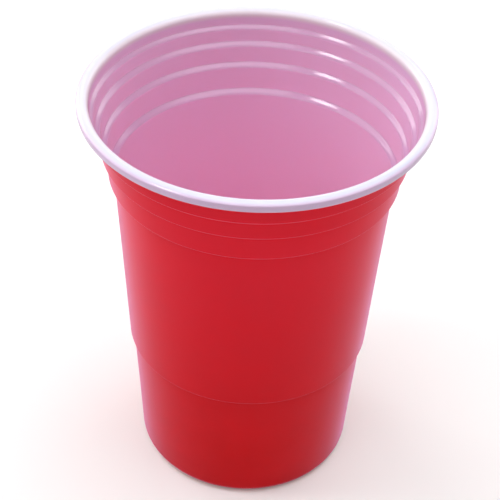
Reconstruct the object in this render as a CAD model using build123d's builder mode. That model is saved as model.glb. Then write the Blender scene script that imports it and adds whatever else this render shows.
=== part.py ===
"""A plastic party cup, formed in one piece from a thin two-coloured sheet.

The whole cup is one wall of even thickness, turned about the Z axis: a recessed
base on a foot ring, a leaning wall with one low step, four sloping ledges for
stacking below the mouth, and a rim that rolls outwards and under, with a flat
outer face. The origin is on the table, under the middle of the cup. Sizes are in
millimetres, angles in degrees.
"""

import os
from math import acos, cos, degrees, hypot, radians, sin, tan

from build123d import *

# Overall size
height = 120.0
rim_diameter = 95.0

# Sheet, the lean of the wall from upright, and how far its long panels bow in
wall = 0.35
lean = 3.6
panel_bow = 0.05

# Rolled rim: its inner rounding, the fall of its crown to the upright face, that
# face's height, the rounding under it, and the gap behind the tucked end
lip_radius = 1.6
crown_fall = 0.6
face_height = 1.25
tuck_radius = 1.0
tuck_gap = 0.6

# Stacking ledges, from the mouth down: depth of their middles below the rim, how far
# each one brings the wall in, and how far it falls on the way
ledge_depths = (5.0, 9.7, 15.7, 23.6)
ledge_widths = (1.05, 1.25, 1.3, 1.45)
ledge_falls = (1.2, 1.0, 1.2, 1.6)

# Low step in the wall: the height of its middle, how far it comes in, and its fall
step_height = 40.4
step_width = 0.95
step_fall = 1.3

# Rounded foot, the flat ring it stands on, and the recessed base inside it
foot_radius = 3.0
ring_width = 1.5
recess_height = 2.5
recess_lean = 12.0

# How many flats stand in for the rim's tuck, crown and lip, on the skin that shows and
# on the one hidden in the roll, and for the foot's rounding
shown_flat_counts = (2, 2, 3)
hidden_flat_counts = (1, 1, 2)
foot_flat_count = 2

# Middles of the rim's rounds, and the radius of its crown
rim_radius = rim_diameter / 2
lip_middle = (rim_radius - lip_radius, height - lip_radius)
crown_radius = (lip_radius**2 + crown_fall**2) / (2 * crown_fall)
crown_middle = (lip_middle[0], height - crown_radius)
tuck_middle = (rim_radius - tuck_radius, height - crown_fall - face_height)

# The wall in bands: the level, width and fall of the ledge or step that ends each one,
# and the outer radius of each one carried down to the table
band_ends = [height - depth for depth in ledge_depths] + [step_height]
end_widths = (*ledge_widths, step_width)
end_falls = (*ledge_falls, step_fall)
slope = tan(radians(lean))
mouth_radius = lip_middle[0] - (lip_radius - wall) / cos(radians(lean))
band_radii = [mouth_radius - lip_middle[1] * slope]
for width in end_widths:
    band_radii.append(band_radii[-1] - width)

# Middle of the foot's rounding, and the outer radius of the recess on the table
foot_middle = (band_radii[-1] + foot_radius * (slope - 1 / cos(radians(lean))), foot_radius)
recess_radius = foot_middle[0] - ring_width


def arc_points(middle, radius, start, end, flats):
    """Points on an arc, from its start angle to its end angle."""
    angles = [radians(start + (end - start) * i / flats) for i in range(flats + 1)]
    return [(middle[0] + radius * cos(a), middle[1] + radius * sin(a)) for a in angles]


def band_point(band, level, depth):
    """The point of a band at this level, at a depth into the sheet from its outer skin."""
    return (band_radii[band] + level * slope - depth / cos(radians(lean)), level)


def recess_point(level, depth):
    """The point of the recess's side at this level, at a depth into the sheet."""
    recess_slope = tan(radians(recess_lean))
    return (recess_radius - level * recess_slope + depth / cos(radians(recess_lean)), level)


def rim_points(depth, flat_counts):
    """The rolled rim, from its tucked end out, up the face and over the crown to the top of the wall."""
    inset = wall - depth
    tucked_end = (mouth_radius + tuck_gap, tuck_middle[1] - tuck_radius + inset)
    crown_edge = degrees(acos((lip_radius - inset) / (crown_radius - inset)))
    tuck_flats, crown_flats, lip_flats = flat_counts
    return [
        tucked_end,
        *arc_points(tuck_middle, tuck_radius - inset, -90, 0, tuck_flats),
        *arc_points(crown_middle, crown_radius - inset, crown_edge, 90, crown_flats),
        *arc_points(lip_middle, lip_radius - inset, 90, 180 - lean, lip_flats)[1:],
    ]


def ledge_points(depth):
    """The two corners of each ledge and of the low step, from the rim down."""
    points = []
    for band, (end, width, fall) in enumerate(zip(band_ends, end_widths, end_falls)):
        ledge_length = hypot(width + fall * slope, fall)
        middle = end + depth * (ledge_length - fall / cos(radians(lean))) / width
        points.append(band_point(band, middle + fall / 2, depth))
        points.append(band_point(band + 1, middle - fall / 2, depth))
    return points


def foot_points(depth):
    """The rounded foot, the ring it stands on and the recessed base, in to the axis."""
    points = arc_points(foot_middle, foot_radius - depth, -lean, -90, foot_flat_count)
    top = recess_height + depth
    return [*points, recess_point(depth, depth), recess_point(top, depth), (0, top)]


def panel(top, bottom):
    """A long panel of the wall, which bows in a little between its ends."""
    middle = (Vector(top) + Vector(bottom)) / 2
    return Bezier(top, middle - Vector(2 * panel_bow, 0), bottom)


def skin(depth, flat_counts):
    """One whole skin of the sheet, given by its depth, from the rim's tucked end to the axis."""
    *ledges, step_out, step_in = ledge_points(depth)
    foot = foot_points(depth)
    upper_wall = Polyline(*rim_points(depth, flat_counts), *ledges)
    panel(ledges[-1], step_out)
    Line(step_out, step_in)
    panel(step_in, foot[0])
    lower_wall = Polyline(*foot)
    return upper_wall @ 0, lower_wall @ 1


with BuildPart() as cup:
    with BuildSketch(Plane.XZ):
        with BuildLine():
            outer_tip, outer_middle = skin(0, hidden_flat_counts)
            inner_tip, inner_middle = skin(wall, shown_flat_counts)
            Line(outer_tip, inner_tip)
            Line(outer_middle, inner_middle)
        make_face()
    revolve(axis=Axis.Z)

cup.part.label = "cup"

os.makedirs("parts", exist_ok=True)
export_step(cup.part, "parts/cup.step")
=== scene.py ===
"""A red plastic party cup on a white table: one thin sheet, red outside and white inside."""

from math import acos, cos, pi, radians, sin, tan

import bmesh
import bpy
from mathutils import Matrix, Vector


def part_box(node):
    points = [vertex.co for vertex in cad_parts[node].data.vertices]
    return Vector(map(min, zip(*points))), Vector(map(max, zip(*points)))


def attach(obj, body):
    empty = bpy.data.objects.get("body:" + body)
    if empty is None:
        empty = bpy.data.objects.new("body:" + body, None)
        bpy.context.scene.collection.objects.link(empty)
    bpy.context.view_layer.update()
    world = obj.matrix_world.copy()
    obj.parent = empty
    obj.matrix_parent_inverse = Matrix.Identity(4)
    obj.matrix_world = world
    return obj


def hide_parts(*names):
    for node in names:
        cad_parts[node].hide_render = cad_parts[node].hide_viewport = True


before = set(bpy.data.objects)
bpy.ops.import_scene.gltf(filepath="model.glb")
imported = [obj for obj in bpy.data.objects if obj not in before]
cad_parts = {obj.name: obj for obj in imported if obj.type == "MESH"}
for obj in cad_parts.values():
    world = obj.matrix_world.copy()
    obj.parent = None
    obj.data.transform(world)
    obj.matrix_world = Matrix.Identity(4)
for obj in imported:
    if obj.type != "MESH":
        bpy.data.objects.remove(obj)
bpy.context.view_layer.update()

mm = 0.001

# The upper corner of the cup's box, in metres. The cup's own measures are in millimetres.
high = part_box("cup")[1]
height = high.z / mm
rim_radius = high.x / mm

# The sheet, the lean of its wall, and how far its long panels bow in
wall = 0.35
lean = radians(3.6)
slope = tan(lean)
panel_bow = 0.05

# The rolled rim: its lip, the crown that falls to the upright face, the tuck under it,
# and the gap behind the tucked end
lip_radius = 1.6
crown_fall = 0.6
face_height = 1.25
tuck_radius = 1.0
tuck_gap = 0.6
crease_rounding = 0.06

# The four stacking ledges, from the mouth down: the depth of their middles, how far
# they come in, and the height of their soft double curve
ledge_depths = (5.0, 9.7, 15.7, 23.6)
ledge_widths = (1.05, 1.25, 1.3, 1.45)
ledge_heights = (1.22, 1.5, 1.5, 1.66)

# The low step: the level of its middle, its width and its height
step_level = 40.4
step_width = 0.95
step_rise = 1.3

# The foot, and the recessed base with the rings that it is drawn in
foot_rounding = 3.0
ring_width = 1.5
recess_height = 2.5
recess_slope = tan(radians(12))
recess_corner = 0.5
base_start = 4.0
base_rings = (12, 20, 25)

# How finely the cup is drawn: flats all round it, and steps in each corner, ledge, lip,
# crown and tuck
around = 288
corner_steps = 5
ledge_steps = 12
lip_steps = 16
crown_steps = 8
tuck_steps = 10

# How near a point counts as on a ring, how near two points count as one, and the
# sharpest fold that is still shaded smooth
ring_tolerance = 0.02
merge_distance = 0.001
smooth_angle = radians(50)


# Sizes that follow

lip_middle = Vector((rim_radius - lip_radius, height - lip_radius))
crown_radius = (lip_radius**2 + crown_fall**2) / (2 * crown_fall)
crown_middle = Vector((lip_middle.x, height - crown_radius))
tuck_middle = Vector((rim_radius - tuck_radius, height - crown_fall - face_height))
mouth_radius = lip_middle.x - (lip_radius - wall) / cos(lean)


def wall_radius(offset, level):
    """The outer radius at a level, of a band this far in from the one at the mouth."""
    return mouth_radius - offset - (lip_middle.y - level) * slope


def deselect_all():
    """Leaves nothing selected."""
    for thing in bpy.context.selected_objects:
        thing.select_set(False)


# The cup, modelled from the middle of its base out and up to the rolled rim

class OpenEdge:
    """The open edge of the sheet, which each extrude carries to a new radius and level."""

    def __init__(self, radius, level):
        self.radius = radius
        self.level = level

    def carry(self, radius, level):
        """Extrudes the edge to a radius and a level, in millimetres."""
        scale = radius / self.radius
        bpy.ops.mesh.extrude_region_move()
        bpy.ops.transform.translate(value=(0, 0, (level - self.level) * mm))
        bpy.ops.transform.resize(value=(scale, scale, 1), center_override=(0, 0, 0))
        self.radius = radius
        self.level = level

    def carry_round(self, middle, radius, start, end, steps):
        """Extrudes the edge along an arc, from its start angle to its end angle."""
        for i in range(steps + 1):
            angle = start + (end - start) * i / steps
            self.carry(middle.x + radius * cos(angle), middle.y + radius * sin(angle))

    def carry_ledge(self, offset, width, level, rise):
        """Extrudes the edge up a soft double curve, out from a band by the ledge's width."""
        for i in range(ledge_steps + 1):
            share = i / ledge_steps
            turn_level = level + (share - 0.5) * rise
            turn_offset = offset - width * share**2 * (3 - 2 * share)
            self.carry(wall_radius(turn_offset, turn_level), turn_level)


def select_ring(radius, level):
    """Selects the ring of edges at a radius and a level."""
    mesh = bmesh.from_edit_mesh(bpy.context.object.data)
    for vert in mesh.verts:
        off_radius = abs(Vector((vert.co.x, vert.co.y)).length / mm - radius)
        off_level = abs(vert.co.z / mm - level)
        vert.select = max(off_radius, off_level) < ring_tolerance
    mesh.select_mode = {"VERT"}
    mesh.select_flush_mode()
    bmesh.update_edit_mesh(bpy.context.object.data)


def round_ring(radius, level, rounding):
    """Rounds the corner that runs round the cup at a radius and a level."""
    bpy.ops.mesh.select_all(action="DESELECT")
    select_ring(radius, level)
    bpy.ops.mesh.bevel(
        offset=rounding * mm, offset_type="OFFSET", segments=corner_steps, affect="EDGES"
    )


def model_cup():
    """Forms the whole cup as one skin, and rounds its corners."""
    deselect_all()
    bpy.ops.mesh.primitive_circle_add(
        vertices=around, radius=base_start * mm, fill_type="TRIFAN",
        location=(0, 0, recess_height * mm),
    )
    cup = bpy.context.object
    cup.name = cup.data.name = "formed_cup"
    bpy.ops.object.transform_apply(location=True, rotation=True, scale=True)
    bpy.ops.object.mode_set(mode="EDIT")
    bpy.ops.mesh.select_mode(type="VERT")
    bpy.ops.mesh.select_all(action="DESELECT")
    select_ring(base_start, recess_height)
    edge = OpenEdge(base_start, recess_height)

    # Base, recess, foot ring and foot
    lowest_offset = sum(ledge_widths) + step_width
    foot_corner = wall_radius(lowest_offset, 0)
    foot_middle = foot_corner + foot_rounding * (slope - 1 / cos(lean))
    recess_foot = foot_middle - ring_width
    recess_top = recess_foot - recess_height * recess_slope
    for radius in base_rings:
        edge.carry(radius, recess_height)
    edge.carry(recess_top, recess_height)
    edge.carry(recess_foot, 0)
    edge.carry(foot_corner, 0)

    # Lower panel, the low step and the upper panel
    edge.carry(wall_radius(lowest_offset, step_level / 2) - panel_bow, step_level / 2)
    edge.carry_ledge(lowest_offset, step_width, step_level, step_rise)
    offset = lowest_offset - step_width
    middle_level = (step_level + height - ledge_depths[-1]) / 2
    edge.carry(wall_radius(offset, middle_level) - panel_bow, middle_level)

    # Ledges, from the lowest one up
    for depth, width, rise in reversed(list(zip(ledge_depths, ledge_widths, ledge_heights))):
        edge.carry_ledge(offset, width, height - depth, rise)
        offset -= width

    # Rolled rim: over the lip and the crown, down the face, and under
    crown_edge = acos((lip_radius - wall) / (crown_radius - wall))
    edge.carry_round(lip_middle, lip_radius - wall, pi - lean, pi / 2, lip_steps)
    edge.carry_round(crown_middle, crown_radius - wall, pi / 2, crown_edge, crown_steps)
    crease = (edge.radius, edge.level, crease_rounding)
    edge.carry_round(tuck_middle, tuck_radius - wall, 0, -pi / 2, tuck_steps)
    edge.carry(mouth_radius + tuck_gap, edge.level)

    corners = (
        crease,
        (recess_top, recess_height, recess_corner),
        (recess_foot, 0, recess_corner),
        (foot_corner, 0, foot_rounding),
    )
    for radius, level, rounding in corners:
        round_ring(radius, level, rounding)
    bpy.ops.mesh.select_all(action="SELECT")
    bpy.ops.mesh.remove_doubles(threshold=merge_distance * mm)
    # Recalculated from the roll, where the red skin faces inwards, so that it faces out
    # on the wall
    bpy.ops.mesh.normals_make_consistent(inside=True)
    bpy.ops.object.mode_set(mode="OBJECT")
    return cup


def thicken(cup):
    """Gives the skin the sheet's thickness inwards, in the second material, and smooths it."""
    solidify = cup.modifiers.new("sheet", "SOLIDIFY")
    solidify.thickness = wall * mm
    solidify.offset = -1
    solidify.use_even_offset = True
    solidify.use_quality_normals = True
    solidify.material_offset = 1
    solidify.material_offset_rim = 1
    bpy.ops.object.modifier_apply(modifier=solidify.name)
    bpy.ops.object.shade_smooth_by_angle(angle=smooth_angle)
    weighted = cup.modifiers.new("even shading", "WEIGHTED_NORMAL")
    weighted.keep_sharp = True
    bpy.ops.object.modifier_apply(modifier=weighted.name)


# Materials: their nodes

def add_node(tree, kind, place, values=None, **settings):
    """Adds a shader node, with its settings and the values of its inputs."""
    node = tree.nodes.new(kind)
    node.location = place
    for key, value in settings.items():
        setattr(node, key, value)
    for key, value in (values or {}).items():
        node.inputs[key].default_value = value
    return node


def ranged(tree, value, low_in, high_in, low_out, high_out):
    """A value carried from one range to another, held at its ends."""
    span = {"From Min": low_in, "From Max": high_in, "To Min": low_out, "To Max": high_out}
    ramp = add_node(tree, "ShaderNodeMapRange", (0, 0), span, clamp=True)
    tree.links.new(value, ramp.inputs["Value"])
    return ramp.outputs["Result"]


def mixed(tree, share, first, second):
    """A colour between two others. Each of them is a colour or a socket."""
    mix = add_node(tree, "ShaderNodeMix", (0, 0), data_type="RGBA")
    tree.links.new(share, mix.inputs["Factor"])
    for socket, colour in ((mix.inputs[6], first), (mix.inputs[7], second)):
        if isinstance(colour, tuple):
            socket.default_value = (*colour, 1)
        else:
            tree.links.new(colour, socket)
    return mix.outputs[2]


def larger(tree, first, second):
    """The larger of two values."""
    pick = add_node(tree, "ShaderNodeMath", (0, 0), operation="MAXIMUM")
    tree.links.new(first, pick.inputs[0])
    tree.links.new(second, pick.inputs[1])
    return pick.outputs["Value"]


def new_material(name):
    """A material with an empty tree."""
    material = bpy.data.materials.new(name)
    material.use_nodes = True
    material.node_tree.nodes.clear()
    return material, material.node_tree


def upward_part(tree, kind):
    """The Z part of a place, a normal or a direction. Places are in metres."""
    place = add_node(tree, "ShaderNodeTexCoord", (-900, 0))
    split = add_node(tree, "ShaderNodeSeparateXYZ", (-700, 0))
    tree.links.new(place.outputs[kind], split.inputs["Vector"])
    return split.outputs["Z"]


def reach_from_axis(tree):
    """The distance from the cup's axis, in metres."""
    place = add_node(tree, "ShaderNodeTexCoord", (-900, -200))
    flat = add_node(
        tree, "ShaderNodeVectorMath", (-700, -200), {1: (1, 1, 0)}, operation="MULTIPLY"
    )
    reach = add_node(tree, "ShaderNodeVectorMath", (-500, -200), operation="LENGTH")
    tree.links.new(place.outputs["Object"], flat.inputs[0])
    tree.links.new(flat.outputs["Vector"], reach.inputs[0])
    return reach.outputs["Value"]


# Materials: the formed sheet, with a skin on each side

# The formed sheet: how many clouds, draw lines and grains there are to a metre, the share
# of that number that the lines have up the wall, and the parts of the clouds' and of the
# relief's range that are used
sheet_scales = {"Cloud Scale": 60.0, "Line Scale": 220.0, "Grain Scale": 2500.0}
line_stretch = 0.06
cloud_span = (0.1, 0.9)
relief_span = (0.2, 0.8)

# Reds of the outside: low down, darker as painted shade, by the mouth, paler and bluer as a
# painted reflection, and in the clouds; the levels of the first two, in metres; and the
# clouds' share
foot_red_painted_shade = (0.72, 0.0, 0.001)
mouth_red_painted_reflection = (0.94, 0.022, 0.048)
cloud_red = (0.96, 0.006, 0.014)
full_shade_level, full_reflection_level = 0.02, 0.10
red_clouds = 0.4

# Pinks of the inside, painted light that comes through the red wall and bounces in the cup:
# by the mouth, deeper down, in the clouds, and darker on the ledges as painted shade; the
# levels of the first two, in metres; how much a surface faces up where the ledges' painted
# shade begins and where it is full; and the clouds' share
mouth_pink_painted_light = (0.905, 0.69, 0.98)
deep_pink_painted_light = (0.99, 0.59, 0.83)
cloud_pink = (0.96, 0.63, 0.86)
ledge_painted_shade = (0.60, 0.37, 0.59)
mouth_level, deep_level = 0.116, 0.04
shade_tilts = (0.1, 0.65)
pink_clouds = 0.3

# Whites of the roll: its lip, whiter than the crown as painted light, its crown, and its face,
# darker as painted shade. Each pair is where one of them begins and where it is full, in
# metres from the cup's axis, or above the table for roll_levels
lip_white_painted_light = (0.95, 0.94, 1.0)
crown_white = (0.77, 0.81, 0.98)
face_white_painted_shade = (0.82, 0.65, 0.90)
roll_reaches = (0.0443, 0.0446)
roll_levels = (0.1174, 0.1185)
crown_reaches = (0.0446, 0.0455)
face_reaches = (0.0467, 0.0474)


def make_sheet_group():
    """Group: the clouds, the lines drawn up the wall and the fine grain that forming leaves."""
    group = bpy.data.node_groups.new("formed_sheet", "ShaderNodeTree")
    for name in sheet_scales:
        group.interface.new_socket(name, in_out="INPUT", socket_type="NodeSocketFloat")
    for name in ("Clouds", "Lines", "Grain"):
        group.interface.new_socket(name, in_out="OUTPUT", socket_type="NodeSocketFloat")
    start = add_node(group, "NodeGroupInput", (-800, 0))
    end = add_node(group, "NodeGroupOutput", (400, 0))
    place = add_node(group, "ShaderNodeTexCoord", (-800, 300))
    stretch = {"Scale": (1, 1, line_stretch)}
    up_the_wall = add_node(group, "ShaderNodeMapping", (-500, -100), stretch)
    group.links.new(place.outputs["Object"], up_the_wall.inputs["Vector"])
    for name, scale, vector, detail in (
        ("Clouds", "Cloud Scale", place.outputs["Object"], 3),
        ("Lines", "Line Scale", up_the_wall.outputs["Vector"], 4),
        ("Grain", "Grain Scale", place.outputs["Object"], 2),
    ):
        noise = add_node(
            group, "ShaderNodeTexNoise", (-200, 0), {"Detail": detail, "Roughness": 0.55}
        )
        group.links.new(vector, noise.inputs["Vector"])
        group.links.new(start.outputs[scale], noise.inputs["Scale"])
        group.links.new(noise.outputs["Fac"], end.inputs[name])
    return group


def sheet_shader(tree, sheet, colour, gloss, roughness, bump, light_through):
    """The plastic itself: clouds in its gloss, and lines and a shallower grain in its relief."""
    shader = add_node(tree, "ShaderNodeBsdfPrincipled", (600, 0), gloss)
    through = add_node(tree, "ShaderNodeBsdfTranslucent", (600, -600))
    thin = add_node(tree, "ShaderNodeMixShader", (800, 0), {"Fac": light_through})
    output = add_node(tree, "ShaderNodeOutputMaterial", (1000, 0))
    tree.links.new(colour, shader.inputs["Base Color"])
    tree.links.new(colour, through.inputs["Color"])
    cloudy_gloss = ranged(tree, sheet.outputs["Clouds"], *cloud_span, *roughness)
    tree.links.new(cloudy_gloss, shader.inputs["Roughness"])
    relief = add_node(tree, "ShaderNodeMath", (200, -300), operation="ADD")
    for socket, name, depth in zip(relief.inputs, ("Lines", "Grain"), (bump, bump / 3)):
        tree.links.new(ranged(tree, sheet.outputs[name], *relief_span, 0, depth), socket)
    bumped = add_node(tree, "ShaderNodeBump", (400, -300), {"Strength": 1.0, "Distance": 1.0})
    tree.links.new(relief.outputs["Value"], bumped.inputs["Height"])
    tree.links.new(bumped.outputs["Normal"], shader.inputs["Normal"])
    tree.links.new(shader.outputs["BSDF"], thin.inputs[1])
    tree.links.new(through.outputs["BSDF"], thin.inputs[2])
    tree.links.new(thin.outputs["Shader"], output.inputs["Surface"])


def red_skin(sheet_group):
    """The outside: glossy red, with painted shade low down and painted reflection up high."""
    material, tree = new_material("red_outside")
    sheet = add_node(tree, "ShaderNodeGroup", (-400, 0), sheet_scales, node_tree=sheet_group)
    level = upward_part(tree, "Object")
    # Painted shade and reflection: darker red towards the foot, paler and bluer towards the
    # mouth
    drawn = ranged(tree, level, full_shade_level, full_reflection_level, 0.0, 1.0)
    clouds = ranged(tree, sheet.outputs["Clouds"], *cloud_span, 0.0, red_clouds)
    colour = mixed(tree, clouds, mixed(tree, drawn, foot_red_painted_shade, mouth_red_painted_reflection), cloud_red)
    gloss = {
        "IOR": 1.5, "Specular IOR Level": 0.08,
        "Sheen Weight": 1.0, "Sheen Roughness": 0.3, "Sheen Tint": (1.0, 0.55, 0.95, 1),
    }
    surface = {"roughness": (0.26, 0.34), "bump": 0.000006, "light_through": 0.2}
    sheet_shader(tree, sheet, colour, gloss, **surface)
    return material


def white_skin(sheet_group):
    """The inside and the rim: white, painted pink below the rim for light through the red wall.
    """
    material, tree = new_material("white_inside")
    sheet = add_node(tree, "ShaderNodeGroup", (-400, 0), sheet_scales, node_tree=sheet_group)
    reach = reach_from_axis(tree)
    level = upward_part(tree, "Object")

    # The wall in painted pink light, and faces that look up, like the ledges, in painted shade
    # Painted light: pink from the light through the red wall, fuller deeper down
    deep = ranged(tree, level, deep_level, mouth_level, 1.0, 0.0)
    clouds = ranged(tree, sheet.outputs["Clouds"], *cloud_span, 0.0, pink_clouds)
    wall_pink = mixed(tree, clouds, mixed(tree, deep, mouth_pink_painted_light, deep_pink_painted_light), cloud_pink)
    # Painted shade: faces that look up catch more light, so they are painted a darker pink
    ledge_shade = ranged(tree, upward_part(tree, "Normal"), *shade_tilts, 0.0, 1.0)
    pink = mixed(tree, ledge_shade, wall_pink, ledge_painted_shade)

    # The roll, from its lip out over the crown to the face; lip painted light, face painted
    # shade
    past_lip = ranged(tree, reach, *crown_reaches, 0.0, 1.0)
    past_crown = ranged(tree, reach, *face_reaches, 0.0, 1.0)
    white = mixed(tree, past_crown, mixed(tree, past_lip, lip_white_painted_light, crown_white), face_white_painted_shade)
    out_to_roll = ranged(tree, reach, *roll_reaches, 0.0, 1.0)
    up_to_roll = ranged(tree, level, *roll_levels, 0.0, 1.0)
    colour = mixed(tree, larger(tree, out_to_roll, up_to_roll), pink, white)
    gloss = {"IOR": 1.5, "Specular IOR Level": 0.5}
    surface = {"roughness": (0.10, 0.14), "bump": 0.000005, "light_through": 0.18}
    sheet_shader(tree, sheet, colour, gloss, **surface)
    return material


# Table, light and camera

# The table: its width in metres, its white, and its own glow, which grows from a little
# under the lamps to plain white where they no longer reach, in metres from the cup
table_width = 8
table_white = (0.8, 0.8, 0.8, 1)
near_glow, far_glow = 0.16, 1.0
lamp_reach = (0.2, 1.4)

# The strength of the room's own light, overhead and at the horizon, and how high up a
# globe of radius 1 the horizon's glow goes
room_light = 0.02
horizon_light = 0.25
glow_top = 0.35

# The softboxes: their turn from behind the cup to its right and their rise above its
# mouth, in degrees, their distance and size, in metres, and their power, in watts
softboxes = (
    ("top_softbox", 90, 79, 1.22, (1.2, 1.2), 13.5),
    ("front_softbox", -155, 52, 1.2, (1.0, 0.4), 2.6),
    ("left_softbox", -80, 38, 1.2, (1.1, 0.6), 4.3),
    ("key_softbox", -97, 61, 1.2, (0.24, 0.2), 2.8),
    ("right_softbox", 85, 12, 1.2, (0.8, 0.3), 0.5),
    ("high_softbox", 70, 47, 1.2, (0.9, 0.22), 0.4),
    ("back_softbox", 10, 30, 1.3, (1.4, 0.7), 3.2),
    ("far_left_softbox", -46, 20, 1.3, (0.6, 0.5), 4.0),
    ("far_right_softbox", 46, 20, 1.3, (0.6, 0.5), 2.0),
)

# The camera: its place in metres, its pan, tilt down and roll, and its sensor and lens in
# millimetres
camera_place = (0, -0.3190, 0.3259)
pan = radians(-0.05)
tilt_down = radians(38.98)
roll = radians(2.39)
sensor_width = 36
lens = 103.68


def white_ray_share(tree):
    """1 for rays that show the background: from the camera, mirrored or passed through."""
    path = add_node(tree, "ShaderNodeLightPath", (-600, 200))
    seen = larger(tree, path.outputs["Is Camera Ray"], path.outputs["Is Glossy Ray"])
    return larger(tree, seen, path.outputs["Is Transmission Ray"])


def lay_table():
    """A plain white table top, which keeps the cup's soft shadow and stays white far away."""
    deselect_all()
    bpy.ops.mesh.primitive_plane_add(size=table_width, location=(0, 0, 0))
    table = bpy.context.object
    table.name = "table_top"
    material, tree = new_material("white_table")
    diffuse = add_node(tree, "ShaderNodeBsdfDiffuse", (0, 0), {"Color": table_white})
    glow = add_node(tree, "ShaderNodeEmission", (0, -200), {"Color": (1, 1, 1, 1)})
    reach = reach_from_axis(tree)
    share = add_node(tree, "ShaderNodeMath", (-100, 300), operation="MULTIPLY")
    tree.links.new(white_ray_share(tree), share.inputs[0])
    tree.links.new(ranged(tree, reach, *lamp_reach, near_glow, far_glow), share.inputs[1])
    tree.links.new(share.outputs["Value"], glow.inputs["Strength"])
    both = add_node(tree, "ShaderNodeAddShader", (200, 0))
    output = add_node(tree, "ShaderNodeOutputMaterial", (400, 0))
    tree.links.new(diffuse.outputs["BSDF"], both.inputs[0])
    tree.links.new(glow.outputs["Emission"], both.inputs[1])
    tree.links.new(both.outputs["Shader"], output.inputs["Surface"])
    table.data.materials.append(material)


def light_room():
    """A pale room that glows round the horizon, and is plain white as a background."""
    world = bpy.data.worlds.new("pale_room")
    bpy.context.scene.world = world
    world.use_nodes = True
    tree = world.node_tree
    backdrop = tree.nodes["Background"]
    backdrop.inputs["Color"].default_value = (1, 1, 1, 1)
    sky_height = upward_part(tree, "Generated")
    light = ranged(tree, sky_height, 0.0, glow_top, horizon_light, room_light)
    tree.links.new(larger(tree, white_ray_share(tree), light), backdrop.inputs["Strength"])


def add_softbox(name, turn, rise, distance, size, watts):
    """Places a soft lamp at a turn round the cup and a rise above its mouth, facing it."""
    turn, rise = radians(turn), radians(rise)
    direction = Vector((sin(turn) * cos(rise), cos(turn) * cos(rise), sin(rise)))
    lamp = bpy.data.lights.new(name, "AREA")
    lamp.shape = "RECTANGLE"
    lamp.size, lamp.size_y = size
    lamp.energy = watts
    holder = bpy.data.objects.new(name, lamp)
    bpy.context.collection.objects.link(holder)
    facing = direction.to_track_quat("Z", "Y").to_matrix().to_4x4()
    place = Vector((0, 0, high.z)) + direction * distance
    holder.matrix_world = Matrix.Translation(place) @ facing


def place_camera():
    """The camera stands in front, looks down at the cup and leans a little to one side."""
    camera = bpy.data.cameras.new("camera")
    camera.sensor_width = sensor_width
    camera.lens = lens
    holder = bpy.data.objects.new("camera", camera)
    bpy.context.collection.objects.link(holder)
    upright = Matrix.Rotation(-pan, 4, "Z") @ Matrix.Rotation(pi / 2 - tilt_down, 4, "X")
    turn = upright @ Matrix.Rotation(roll, 4, "Z")
    holder.matrix_world = Matrix.Translation(camera_place) @ turn
    bpy.context.scene.camera = holder


cup = model_cup()
sheet_group = make_sheet_group()
cup.data.materials.append(red_skin(sheet_group))
cup.data.materials.append(white_skin(sheet_group))
thicken(cup)
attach(cup, "root")
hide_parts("cup")

lay_table()
light_room()
for name, turn, rise, distance, size, watts in softboxes:
    add_softbox(name, turn, rise, distance, size, watts)
place_camera()
bpy.context.scene.view_settings.view_transform = "Standard"
